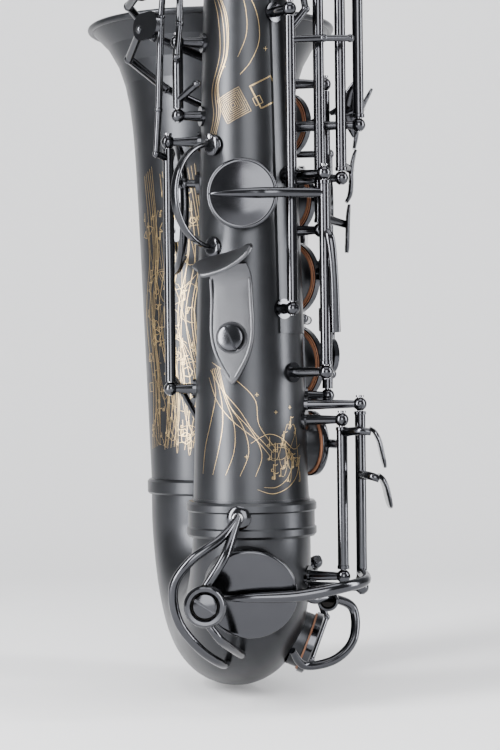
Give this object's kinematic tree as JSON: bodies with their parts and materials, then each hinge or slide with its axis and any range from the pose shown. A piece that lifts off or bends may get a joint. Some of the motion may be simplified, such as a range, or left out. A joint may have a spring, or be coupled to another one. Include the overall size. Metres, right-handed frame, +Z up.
{
  "type": "alto saxophone",
  "caption": "Black lacquered alto saxophone with curved neck, bow and flared bell, padded tone hole keys on hinge rods and posts, strap ring and thumb hook.",
  "frame": {"origin": "centre of the half-round strap ring's eye, on the back of the body tube", "axes": "+Z up along the body tube from bow to neck, +X from the body towards the bell, +Y to the player's left"},
  "size_m": [0.3817, 0.1262, 0.6577],
  "materials": {
    "black_lacquer": "satin black lacquer on brass",
    "black_nickel": "polished black nickel",
    "satin_nickel": "satin black nickel",
    "steel": "polished steel",
    "pad_leather": "waxed brown leather",
    "gold_brass": "polished gold lacquer",
    "black_plastic": "polished ebonite",
    "cane": "smooth cane",
    "cork": "sanded cork",
    "felt": "felt"
  },
  "bodies": {
    "root": {"body_tube": "black_lacquer", "neck_receiver": "black_nickel", "receiver_screw": "steel", "bow": "black_lacquer", "bell": "black_lacquer", "body_ferrule": "black_lacquer", "bell_ferrule": "black_lacquer", "bell_brace": "black_nickel", "key_posts": "black_nickel", "hinge_rods": "steel", "key_ribs": "black_lacquer", "thumb_hook": "satin_nickel", "thumb_hook_screw": "black_nickel", "thumb_rest": "black_plastic", "strap_ring": "black_nickel", "lyre_holder": "black_nickel", "low_C_guard": "black_nickel", "low_Cs_guard": "black_nickel", "bell_key_guard": "black_nickel", "guard_bumpers": "felt"},
    "neck": {"neck_tube": "black_lacquer", "neck_cork": "cork"},
    "mouthpiece_end": {"mouthpiece": "black_plastic", "ligature": "gold_brass", "ligature_screws": "gold_brass", "reed": "cane"},
    "octave_lever": {"octave_lever": "black_nickel"},
    "body_octave_key": {"body_octave_key": "black_nickel"},
    "palm_D": {"palm_D": "black_nickel"},
    "palm_Eb": {"palm_Eb": "black_nickel"},
    "palm_F": {"palm_F": "black_nickel"},
    "side_E": {"side_E": "black_nickel"},
    "side_C": {"side_C": "black_nickel"},
    "side_Bb": {"side_Bb": "black_nickel"},
    "key_B": {"key_B": "black_nickel"},
    "key_bis": {"key_bis": "black_nickel"},
    "key_A": {"key_A": "black_nickel"},
    "key_G": {"key_G": "black_nickel"},
    "key_Gs": {"key_Gs": "black_nickel"},
    "Gs_lever": {"Gs_lever": "black_nickel"},
    "key_F": {"key_F": "black_nickel"},
    "key_E": {"key_E": "black_nickel"},
    "key_D": {"key_D": "black_nickel"},
    "key_Fs": {"key_Fs": "black_nickel"},
    "alt_Fs": {"alt_Fs": "black_nickel", "pad_alt_Fs": "pad_leather"},
    "low_Eb": {"low_Eb": "black_nickel", "pad_low_Eb": "pad_leather"},
    "low_C": {"low_C": "black_nickel", "pad_low_C": "pad_leather"},
    "Cs_lever": {"Cs_lever": "black_nickel"},
    "low_B": {"low_B": "black_nickel", "pad_low_B": "pad_leather"},
    "low_Bb": {"low_Bb": "black_nickel", "pad_low_Bb": "pad_leather"},
    "low_Cs": {"low_Cs": "black_nickel", "pad_low_Cs": "pad_leather"},
    "front_F": {"front_F": "black_nickel"},
    "neck_octave_key": {"neck_octave_key": "black_nickel"}
  },
  "joints": [
    {"name": "neck_swivel", "type": "hinge", "parent": "root", "child": "neck", "pos_m": [0.0136, -0.01942, 0.336], "axis": [0, 0, 1], "range_deg": [-20, 20]},
    {"name": "mouthpiece_slide", "type": "slide", "parent": "neck", "child": "mouthpiece_end", "axis": [-1, 0, 0], "range_m": [0, 0.008]},
    {"name": "octave_lever_turn", "type": "hinge", "parent": "root", "child": "octave_lever", "pos_m": [-0.01139, -0.01226, 0.219], "axis": [0, 0, 1], "range_deg": [-5, 0]},
    {"name": "body_octave_turn", "type": "hinge", "parent": "root", "child": "body_octave_key", "pos_m": [-0.00424, -0.03548, 0.196], "axis": [0, 0, 1], "range_deg": [0, 10]},
    {"name": "palm_D_turn", "type": "hinge", "parent": "root", "child": "palm_D", "pos_m": [0.0006, 0.00309, 0.261], "axis": [0, 0, 1], "range_deg": [0, 9]},
    {"name": "palm_Eb_turn", "type": "hinge", "parent": "root", "child": "palm_Eb", "pos_m": [0.0006, 0.00309, 0.261], "axis": [0, 0, 1], "range_deg": [0, 9]},
    {"name": "palm_F_turn", "type": "hinge", "parent": "root", "child": "palm_F", "pos_m": [0.0006, 0.00309, 0.261], "axis": [0, 0, 1], "range_deg": [0, 9]},
    {"name": "side_E_turn", "type": "hinge", "parent": "root", "child": "side_E", "pos_m": [-0.00333, -0.06859, 0.143], "axis": [0, 0, 1], "range_deg": [0, 8]},
    {"name": "side_C_turn", "type": "hinge", "parent": "root", "child": "side_C", "pos_m": [-0.00753, -0.05915, 0.098], "axis": [0, 0, 1], "range_deg": [0, 9]},
    {"name": "side_Bb_turn", "type": "hinge", "parent": "root", "child": "side_Bb", "pos_m": [-0.00918, -0.04858, 0.064], "axis": [0, 0, 1], "range_deg": [0, 9]},
    {"name": "key_B_turn", "type": "hinge", "parent": "root", "child": "key_B", "pos_m": [0.02521, -0.04816, 0.156], "axis": [0, 0, 1], "range_deg": [0, 6.5]},
    {"name": "key_bis_turn", "type": "hinge", "parent": "root", "child": "key_bis", "pos_m": [0.02521, -0.04816, 0.156], "axis": [0, 0, 1], "range_deg": [0, 6.5]},
    {"name": "key_A_turn", "type": "hinge", "parent": "root", "child": "key_A", "pos_m": [0.02521, -0.04816, 0.156], "axis": [0, 0, 1], "range_deg": [0, 6.5]},
    {"name": "key_G_turn", "type": "hinge", "parent": "root", "child": "key_G", "pos_m": [0.02521, -0.04816, 0.156], "axis": [0, 0, 1], "range_deg": [0, 6.5]},
    {"name": "key_Gs_turn", "type": "hinge", "parent": "root", "child": "key_Gs", "pos_m": [-0.01421, -0.03421, 0.015], "axis": [0, 0, 1], "range_deg": [-10, 0]},
    {"name": "Gs_lever_turn", "type": "hinge", "parent": "root", "child": "Gs_lever", "pos_m": [0.01072, 0.01345, 0.055], "axis": [0, 0, 1], "range_deg": [-8, 0]},
    {"name": "key_F_turn", "type": "hinge", "parent": "root", "child": "key_F", "pos_m": [0.0136, -0.05642, -0.019], "axis": [0, 0, 1], "range_deg": [0, 7.5]},
    {"name": "key_E_turn", "type": "hinge", "parent": "root", "child": "key_E", "pos_m": [0.0136, -0.05642, -0.019], "axis": [0, 0, 1], "range_deg": [0, 7.5]},
    {"name": "key_D_turn", "type": "hinge", "parent": "root", "child": "key_D", "pos_m": [0.0136, -0.05642, -0.019], "axis": [0, 0, 1], "range_deg": [0, 7.5]},
    {"name": "key_Fs_turn", "type": "hinge", "parent": "root", "child": "key_Fs", "pos_m": [0.0136, -0.05642, -0.019], "axis": [0, 0, 1], "range_deg": [0, 7.5]},
    {"name": "alt_Fs_turn", "type": "hinge", "parent": "root", "child": "alt_Fs", "pos_m": [-0.02049, -0.04803, -0.036], "axis": [0, 0, 1], "range_deg": [0, 8]},
    {"name": "low_Eb_turn", "type": "hinge", "parent": "root", "child": "low_Eb", "pos_m": [-0.00624, -0.05836, -0.139], "axis": [0, 0, 1], "range_deg": [-8, 0]},
    {"name": "low_C_turn", "type": "hinge", "parent": "root", "child": "low_C", "pos_m": [0.0004, -0.06868, -0.139], "axis": [0, 0, 1], "range_deg": [-3.5, 0]},
    {"name": "Cs_lever_turn", "type": "hinge", "parent": "root", "child": "Cs_lever", "pos_m": [0.02129, 0.01677, -0.031], "axis": [0, 0, 1], "range_deg": [-6, 0]},
    {"name": "low_B_turn", "type": "hinge", "parent": "root", "child": "low_B", "pos_m": [0.06585, -0.02423, -0.009], "axis": [0, 0, 1], "range_deg": [0, 3.5]},
    {"name": "low_Bb_turn", "type": "hinge", "parent": "root", "child": "low_Bb", "pos_m": [0.06837, -0.03516, 0.021], "axis": [0, 0, 1], "range_deg": [0, 3.5]},
    {"name": "low_Cs_turn", "type": "hinge", "parent": "root", "child": "low_Cs", "pos_m": [0.04922, -0.05493, -0.17916], "axis": [-0.8829, 0, 0.4695], "range_deg": [0, 8]},
    {"name": "front_F_turn", "type": "hinge", "parent": "root", "child": "front_F", "pos_m": [0.04216, -0.02446, 0.258], "axis": [0, 0, 1], "range_deg": [-9, 0]},
    {"name": "neck_octave_turn", "type": "hinge", "parent": "neck", "child": "neck_octave_key", "pos_m": [-0.02375, -0.01942, 0.41477], "axis": [0, 1, 0], "range_deg": [-3, 0]}
  ],
  "couplings": [
    {"joint": "neck_octave_turn", "follows": "octave_lever_turn", "ratio": 0.6},
    {"joint": "key_Fs_turn", "follows": "key_F_turn", "ratio": 1},
    {"joint": "key_Gs_turn", "follows": "Gs_lever_turn", "ratio": 1.25},
    {"joint": "low_Cs_turn", "follows": "Cs_lever_turn", "ratio": -1.25}
  ]
}
